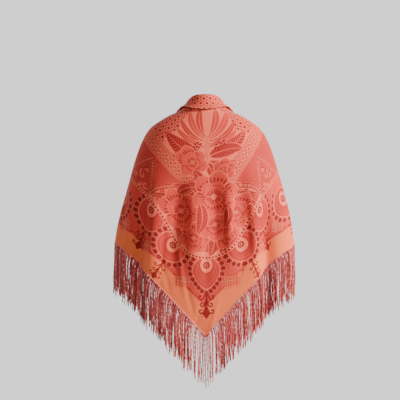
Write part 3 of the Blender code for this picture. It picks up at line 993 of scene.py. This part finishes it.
def cord_fringe(name, hem, past, rng):
    """The cords that hang from one half of the hem."""
    steps = np.linalg.norm(np.diff(hem, axis=0), axis=1)
    run = np.concatenate(([0], np.cumsum(steps)))
    roots = (np.arange(CORDS_A_SIDE) + 0.5) / CORDS_A_SIDE * run[-1]
    roots += rng.uniform(-0.0007, 0.0007, CORDS_A_SIDE)

    def at_roots(values):
        return np.stack([np.interp(roots, run, values[:, a]) for a in range(3)], axis=1)

    start = at_roots(hem)
    way = at_roots(past)
    from_point = np.minimum(np.linalg.norm(hem[0] - start, axis=1), np.linalg.norm(hem[-1] - start, axis=1))
    straight = np.exp(-from_point / POINT_REACH)[:, None]
    way = way * (1 - straight) + np.array([0, 0, -1]) * straight
    lengths = CORD_LENGTH + rng.uniform(-CORD_SPREAD, CORD_SPREAD, CORDS_A_SIDE)
    share = np.linspace(0, 1, CORD_RINGS) ** 1.25
    s = share[None, :] * lengths[:, None]
    bend = CORD_BEND * rng.uniform(0.7, 1.35, CORDS_A_SIDE)[:, None]
    sideways = bend * (1 - np.exp(-s / bend))
    flat_way = way * np.array([1, 1, 0])
    fall_rate = np.clip(-way[:, 2:3], 0, 1)
    drop = s - sideways * (1 - fall_rate)
    wave = rng.uniform(-1, 1, (CORDS_A_SIDE, 4))
    swing_x = CORD_SWING_X * share**1.5 * (wave[:, 0:1] + 0.4 * np.sin(9 * share + 6 * wave[:, 1:2]))
    swing_y = CORD_SWING_Y * share**1.5 * (wave[:, 2:3] + 0.4 * np.sin(8 * share + 6 * wave[:, 3:4]))
    path = start[:, None] + flat_way[:, None] * sideways[..., None]
    path[..., 0] += swing_x
    path[..., 1] += swing_y
    path[..., 2] -= drop
    knot = 1 + 0.45 * np.exp(-(((s - KNOT_PLACE) / KNOT_REACH) ** 2))
    knot += 0.3 * np.exp(-((s / KNOT_REACH) ** 2))
    thickness = rng.uniform(0.85, 1.15, CORDS_A_SIDE)[:, None]
    size = CORD_RADIUS * knot * np.where(share > 0.97, 0.45, 1.0) * thickness
    sides = CORD_SIDES
    angles = np.linspace(0, 2 * np.pi, sides)
    twist = 2 * np.pi * s / CORD_TWIST / 2 + rng.uniform(0, 6.28, CORDS_A_SIDE)[:, None]
    lobe = 1 + 0.24 * np.cos(2 * (angles[None, None, :] - twist[..., None]))
    x = np.cos(angles)[None, None, :] * lobe * size[..., None]
    y = np.sin(angles)[None, None, :] * lobe * size[..., None]
    points = np.zeros((CORDS_A_SIDE, CORD_RINGS, sides, 3))
    points[..., 0] = path[..., 0:1] + x
    points[..., 1] = path[..., 1:2] + y
    points[..., 2] = path[..., 2:3]
    one = grid_faces(CORD_RINGS, sides)
    faces = (one[None] + (np.arange(CORDS_A_SIDE) * CORD_RINGS * sides)[:, None, None]).reshape(-1, 4)
    colour = np.repeat(rng.uniform(0, 1, CORDS_A_SIDE), CORD_RINGS * sides)
    return add_mesh(name, points.reshape(-1, 3), faces, values={"strand": colour})


def turned_edge(turns, base, normals, down):
    """The top edge of the cloth, rolled over outwards, with the places of its points on the cloth in mm."""
    widths = neck_value("turned", turns)
    rolls = neck_value("roll", turns)
    up = base[:, 0] - base[:, 4]
    up /= np.linalg.norm(up, axis=1, keepdims=True)
    start = base[:, 0] - normals[:, 0] * WALL / 2 + up * EDGE_GAP
    top_run = np.concatenate(([0], np.cumsum(np.linalg.norm(np.diff(base[:, 0], axis=0), axis=1))))
    lines = []
    for column in range(len(turns)):
        roll = rolls[column]
        n = normals[column, 0]
        centre = start[column] + n * roll + up[column] * WALL / 2
        outs = []
        for angle in np.linspace(0, np.pi, ROLL_STEPS + 1):
            ray = -n * np.cos(angle) + up[column] * np.sin(angle)
            outs.append(centre + ray * (roll + WALL / 2))
        scallop = SCALLOP * np.cos(2 * np.pi * top_run[column] / SCALLOP_PITCH)
        for share in np.linspace(0, 1, TURNED_ROWS + 1)[1:]:
            reached = share * (widths[column] + scallop)
            place = np.array([np.interp(reached, down[column], base[column, :, a]) for a in range(3)])
            away = np.array([np.interp(reached, down[column], normals[column, :, a]) for a in range(3)])
            away /= np.linalg.norm(away)
            outs.append(place + away * 2 * roll * (1 + (EDGE_STAND_OFF - 1) * share))
        lines.append(outs)
    grid = np.array(lines)
    along_row = np.concatenate((np.zeros((1, grid.shape[1])),
                                np.cumsum(np.linalg.norm(np.diff(grid, axis=0), axis=2), axis=0)))
    along_row -= along_row[len(turns) // 2]
    down_row = np.concatenate((np.zeros((len(turns), 1)),
                               np.cumsum(np.linalg.norm(np.diff(grid, axis=1), axis=2), axis=1)), axis=1)
    return grid, along_row * 1000, down_row * 1000


def make_pieces():
    """Builds every piece of the shawl and returns them by name."""
    back = np.linspace(0, SIDE_TURN, BACK_COLUMNS + 1)
    front = np.linspace(SIDE_TURN, 1, FRONT_COLUMNS + 1)
    right = np.concatenate((back, front[1:]))
    turns = np.concatenate((-right[:0:-1], right))
    centre = len(right) - 1
    falls = np.linspace(0, 1, ROWS + 1)
    points, normals, around, down = folded_cloth(turns, falls)
    x, y, hem = design_places(turns, around, down)
    tones = woven(x.ravel(), y.ravel(), hem.ravel())
    tones = {key: value.reshape(x.shape) for key, value in tones.items()}
    made = {}
    runs = {
        "cloth_front_left": (0, FRONT_COLUMNS),
        "cloth_back_left": (FRONT_COLUMNS, centre),
        "cloth_back_right": (centre, centre + BACK_COLUMNS),
        "cloth_front_right": (centre + BACK_COLUMNS, 2 * centre),
    }
    for name, (first, last) in runs.items():
        part = slice(first, last + 1)
        size = points[part].shape[:2]
        made[name] = add_mesh(
            name, points[part].reshape(-1, 3), grid_faces(*size), normals[part].reshape(-1, 3),
            grid_uv(*size), {key: value[part].ravel() for key, value in tones.items()},
        )
        made[name]["cut"] = flat_cut(turns[part])

    turned = np.nonzero(np.abs(turns) <= TURNED_TURN)[0]
    grid, along_row, down_row = turned_edge(turns[turned], points[turned], normals[turned], down[turned])
    layers = new_layers(grid.shape[0] * grid.shape[1])
    face = Face(along_row.ravel(), down_row.ravel(), layers)
    hexagon_net(face, slice(None), face.x + TURNED_NET_SHIFT[0], face.y + TURNED_NET_SHIFT[1])
    layers["border"] = np.full(len(face.x), -FAR)
    size = grid.shape[:2]
    made["turned_neck_edge"] = add_mesh(
        "turned_neck_edge", grid.reshape(-1, 3), grid_faces(*size), None, grid_uv(*size), layers
    )
    collar_line = grid[:, -1]
    made["neck_edge_cord"] = edge_cord("neck_edge_cord", collar_line, NECK_EDGE_RADIUS, NECK_PICOT)
    middle = points - normals * WALL / 2
    made["hem_cord_left"] = edge_cord("hem_cord_left", middle[: centre + 1, -1], EDGE_RADIUS, HEM_PICOT)
    made["hem_cord_right"] = edge_cord("hem_cord_right", middle[centre:, -1], EDGE_RADIUS, HEM_PICOT)
    made["front_cord_left"] = edge_cord("front_cord_left", middle[0], FRONT_EDGE_RADIUS, 0.0)
    made["front_cord_right"] = edge_cord("front_cord_right", middle[-1], FRONT_EDGE_RADIUS, 0.0)

    hem_line = middle[:, -1]
    along = np.gradient(hem_line, axis=0)
    along /= np.linalg.norm(along, axis=1, keepdims=True)
    past = np.cross(along, normals[:, -1])
    fall_way = points[:, -1] - points[:, -4]
    past *= np.sign(np.sum(past * fall_way, axis=1, keepdims=True))
    past /= np.linalg.norm(past, axis=1, keepdims=True)
    rng = np.random.default_rng(FRINGE_SEED)
    halves = {"fringe_cords_left": slice(0, centre + 1), "fringe_cords_right": slice(centre, None)}
    for name, half in halves.items():
        made[name] = cord_fringe(name, hem_line[half], past[half], rng)
    return made

# Colours of the weave and the yarn, as linear values
GROUND = (0.94, 0.150, 0.085)
PEACH = (0.93, 0.158, 0.052)
MID_PALE = (0.80, 0.064, 0.042)
MID_DEEP = (0.47, 0.026, 0.021)
DARK = (0.29, 0.013, 0.013)
EDGE_YARN = (0.82, 0.19, 0.11)
# Fringe yarn from deep wine to coral; the last, pale pink stop is a painted highlight, the shine of the
# silky cords put into their colour
YARN_AND_PAINTED_HIGHLIGHT = ((0.0, (0.11, 0.007, 0.016)), (0.32, (0.30, 0.026, 0.030)), (0.62, (0.55, 0.070, 0.055)),
        (0.86, (0.80, 0.20, 0.16)), (1.0, (0.92, 0.46, 0.43)))
TONE_EDGE = 0.45
CLOTH_ROUGHNESS = 0.74
CLOTH_SHEEN = 0.08
THREAD_SCALE = 420.0


class Nodes:
    """Adds nodes to a material, each wired as it is made."""

    def __init__(self, name):
        self.material = bpy.data.materials.new(name)
        self.material.use_nodes = True
        self.tree = self.material.node_tree
        self.shader = self.tree.nodes["Principled BSDF"]

    def add(self, kind, inputs=None, **settings):
        node = self.tree.nodes.new(kind)
        for key, value in settings.items():
            setattr(node, key, value)
        for key, value in (inputs or {}).items():
            self.feed(node.inputs[key], value)
        return node

    def feed(self, socket, value):
        if isinstance(value, bpy.types.NodeSocket):
            self.tree.links.new(value, socket)
        else:
            socket.default_value = value

    def value(self, name):
        node = self.add("ShaderNodeAttribute", attribute_name=name, attribute_type="GEOMETRY")
        return node.outputs["Fac"]

    def step(self, value, low, high):
        node = self.add("ShaderNodeMapRange", {"Value": value, "From Min": low, "From Max": high})
        return node.outputs["Result"]

    def mix(self, share, first, second):
        node = self.add("ShaderNodeMix", data_type="RGBA")
        self.feed(node.inputs[0], share)
        self.feed(node.inputs[6], first)
        self.feed(node.inputs[7], second)
        return node.outputs[2]

    def calculate(self, operation, first, second):
        node = self.add("ShaderNodeMath", operation=operation)
        self.feed(node.inputs[0], first)
        self.feed(node.inputs[1], second)
        return node.outputs[0]


def opaque(colour):
    return (*colour, 1.0)


def jacquard_material():
    """Woven cloth in three tones, whose figure stands slightly off the ground."""
    nodes = Nodes("jacquard cloth")
    mid = nodes.step(nodes.value("mid"), -TONE_EDGE, TONE_EDGE)
    dark = nodes.step(nodes.value("dark"), -TONE_EDGE, TONE_EDGE)
    tint = nodes.step(nodes.value("tint"), -1.0, 1.0)
    border = nodes.step(nodes.value("border"), -TONE_EDGE, TONE_EDGE)
    ground = nodes.mix(border, opaque(GROUND), opaque(PEACH))
    middle = nodes.mix(tint, opaque(MID_DEEP), opaque(MID_PALE))
    colour = nodes.mix(mid, ground, middle)
    colour = nodes.mix(dark, colour, opaque(DARK))
    place = nodes.add("ShaderNodeTexCoord").outputs["Object"]
    cloud = nodes.add("ShaderNodeTexNoise", {"Vector": place, "Scale": 9.0, "Detail": 3.0})
    cloud_share = nodes.step(cloud.outputs["Fac"], 0.35, 0.75)
    value = nodes.step(cloud_share, -6.0, 1.6)
    colour_cloud = nodes.add("ShaderNodeHueSaturation", {"Color": colour, "Value": value})
    nodes.feed(nodes.shader.inputs["Base Color"], colour_cloud.outputs["Color"])
    nodes.shader.inputs["Roughness"].default_value = CLOTH_ROUGHNESS
    nodes.shader.inputs["Sheen Weight"].default_value = CLOTH_SHEEN
    nodes.shader.inputs["Sheen Roughness"].default_value = 0.4
    nodes.shader.inputs["Sheen Tint"].default_value = (1.0, 0.50, 0.36, 1.0)
    nodes.shader.inputs["Specular IOR Level"].default_value = 0.15
    lie = {"Vector": place, "Scale": THREAD_SCALE / 6.283, "Distortion": 0.6}
    threads = nodes.add("ShaderNodeTexWave", lie, wave_type="BANDS", bands_direction="Z")
    figure = nodes.calculate("MAXIMUM", mid, dark)
    height = nodes.calculate("ADD", nodes.calculate("MULTIPLY", figure, 0.6),
                             nodes.calculate("MULTIPLY", threads.outputs["Fac"], 0.4))
    bump = nodes.add("ShaderNodeBump", {"Height": height, "Strength": 0.35, "Distance": 0.0004})
    nodes.feed(nodes.shader.inputs["Normal"], bump.outputs["Normal"])
    return nodes.material


def edge_material():
    nodes = Nodes("edge yarn")
    nodes.shader.inputs["Base Color"].default_value = opaque(EDGE_YARN)
    nodes.shader.inputs["Roughness"].default_value = 0.6
    place = nodes.add("ShaderNodeTexCoord").outputs["Object"]
    fibre = nodes.add("ShaderNodeTexNoise", {"Vector": place, "Scale": 900.0})
    height = fibre.outputs["Fac"]
    bump = nodes.add("ShaderNodeBump", {"Height": height, "Strength": 0.4, "Distance": 0.0004})
    nodes.feed(nodes.shader.inputs["Normal"], bump.outputs["Normal"])
    return nodes.material


def fringe_material():
    """Twisted silky yarn that varies from cord to cord and along each one; its palest, pale pink tone is a
    painted highlight.
    """
    nodes = Nodes("fringe yarn")
    place = nodes.add("ShaderNodeTexCoord").outputs["Object"]
    fleck = nodes.add("ShaderNodeTexNoise", {"Vector": place, "Scale": 110.0, "Detail": 3.0}).outputs["Fac"]
    share = nodes.calculate("ADD", nodes.calculate("MULTIPLY", nodes.value("strand"), 0.6),
                            nodes.calculate("MULTIPLY", nodes.step(fleck, 0.3, 0.7), 0.4))
    # The ramp's pale pink end is a painted highlight, not a colour of the yarn
    ramp = nodes.add("ShaderNodeValToRGB", {"Fac": share})
    elements = ramp.color_ramp.elements
    elements[0].position, elements[0].color = YARN_AND_PAINTED_HIGHLIGHT[0][0], opaque(YARN_AND_PAINTED_HIGHLIGHT[0][1])
    elements[1].position, elements[1].color = YARN_AND_PAINTED_HIGHLIGHT[-1][0], opaque(YARN_AND_PAINTED_HIGHLIGHT[-1][1])
    for position, colour in YARN_AND_PAINTED_HIGHLIGHT[1:-1]:
        elements.new(position).color = opaque(colour)
    nodes.feed(nodes.shader.inputs["Base Color"], ramp.outputs["Color"])
    nodes.shader.inputs["Roughness"].default_value = 0.55
    nodes.shader.inputs["Specular IOR Level"].default_value = 0.3
    nodes.shader.inputs["Sheen Weight"].default_value = 0.15
    return nodes.material


def plain_material(name, colour):
    nodes = Nodes(name)
    nodes.shader.inputs["Base Color"].default_value = opaque(colour)
    place = nodes.add("ShaderNodeTexCoord").outputs["Object"]
    cloud = nodes.add("ShaderNodeTexNoise", {"Vector": place, "Scale": 1.5})
    rough = nodes.step(cloud.outputs["Fac"], -8.0, 2.0)
    nodes.feed(nodes.shader.inputs["Roughness"], rough)
    return nodes.material


def dress(pieces):
    """Gives every piece its material, attaches it to the root, and hides the CAD part that it stands for.
    """
    cloth = jacquard_material()
    edge = edge_material()
    yarn = fringe_material()
    for name, piece in pieces.items():
        if name.startswith("fringe"):
            material, slot_name, node = yarn, "fringe_yarn", name.replace("_cords", "")
        elif name.startswith("cloth"):
            material, slot_name, node = cloth, "jacquard_cloth", "shawl_cloth"
        elif name == "turned_neck_edge":
            material, slot_name, node = cloth, "jacquard_cloth", "turned_collar"
        else:
            material, slot_name, node = edge, "jacquard_cloth", None
        piece.data.materials.append(material)
        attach(piece, "root")
        if node:
            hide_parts(node)


def declare(pieces):
    """Looks up the flat cut of each part of the cloth and of the turned neck edge, and does nothing with
    it.
    """
    going = {
        "cloth_front_left": ["front_cord_left"],
        "cloth_back_left": ["hem_cord_left", "fringe_cords_left"],
        "cloth_back_right": ["hem_cord_right", "fringe_cords_right"],
        "cloth_front_right": ["front_cord_right"],
    }
    for name, others in going.items():
        width, length, area = pieces[name]["cut"]
    width, length, area = turned_cut()


# Photograph: a level view from behind, with the picture 1.34 m wide at the neck
CAMERA_PLACE = (-0.01675, -4.2, -0.3116)
CAMERA_LENS = 112.84
SENSOR = 36.0
FLOOR_HEIGHT = -1.5
FLOOR_RADIUS = 3
FLOOR_SIDES = 64
FLOOR_COLOUR = (0.6, 0.6, 0.61)
Light = namedtuple("Light", "name place size power colour")
LIGHTS = [
    Light("key", (3.5, -1.6, 1.3), 1.1, 470, (1.0, 0.97, 0.93)),
    Light("fill", (-2.2, -3.4, 0.6), 2.4, 22, (0.98, 0.98, 1.0)),
    Light("front_fill", (0.6, 3.4, 1.2), 2.4, 60, (1.0, 1.0, 1.0)),
]
LIT_PLACE = (0, 0, -0.35)
ROOM = (0.28, 0.28, 0.29)
BACKDROP = (1.34, 1.34, 1.35)


def area_light(light):
    data = bpy.data.lights.new(light.name, "AREA")
    data.shape = "DISK"
    data.size = light.size
    data.energy = light.power
    data.color = light.colour
    obj = bpy.data.objects.new(light.name, data)
    obj.location = light.place
    obj.rotation_euler = (Vector(LIT_PLACE) - Vector(light.place)).to_track_quat("-Z", "Y").to_euler()
    bpy.context.scene.collection.objects.link(obj)


def studio_world():
    """A pale backdrop beyond the object, and a dimmer room on the side of the camera."""
    world = bpy.data.worlds.new("studio")
    world.use_nodes = True
    tree = world.node_tree
    place = tree.nodes.new("ShaderNodeTexCoord")
    split = tree.nodes.new("ShaderNodeSeparateXYZ")
    tree.links.new(place.outputs["Generated"], split.inputs["Vector"])
    range_node = tree.nodes.new("ShaderNodeMapRange")
    range_node.inputs["From Min"].default_value = -0.2
    range_node.inputs["From Max"].default_value = 0.75
    range_node.interpolation_type = "SMOOTHSTEP"
    tree.links.new(split.outputs["Y"], range_node.inputs["Value"])
    ramp = tree.nodes.new("ShaderNodeValToRGB")
    ramp.color_ramp.elements[0].color = opaque(ROOM)
    ramp.color_ramp.elements[1].color = opaque(BACKDROP)
    tree.links.new(range_node.outputs["Result"], ramp.inputs["Fac"])
    tree.links.new(ramp.outputs["Color"], tree.nodes["Background"].inputs["Color"])
    return world


def set_studio():
    scene = bpy.context.scene
    data = bpy.data.cameras.new("camera")
    data.sensor_width = SENSOR
    data.lens = CAMERA_LENS
    camera = bpy.data.objects.new("camera", data)
    camera.location = CAMERA_PLACE
    camera.rotation_euler = (np.pi / 2, 0, 0)
    scene.collection.objects.link(camera)
    scene.camera = camera
    for light in LIGHTS:
        area_light(light)
    scene.world = studio_world()
    angles = np.linspace(0, 2 * np.pi, FLOOR_SIDES + 1)[:-1]
    rim = [(FLOOR_RADIUS * np.cos(a), FLOOR_RADIUS * np.sin(a), FLOOR_HEIGHT) for a in angles]
    mesh = bpy.data.meshes.new("floor")
    mesh.from_pydata(rim, [], [list(range(FLOOR_SIDES))])
    floor = bpy.data.objects.new("floor", mesh)
    floor.data.materials.append(plain_material("studio floor", FLOOR_COLOUR))
    scene.collection.objects.link(floor)


pieces = make_pieces()
dress(pieces)
declare(pieces)
set_studio()
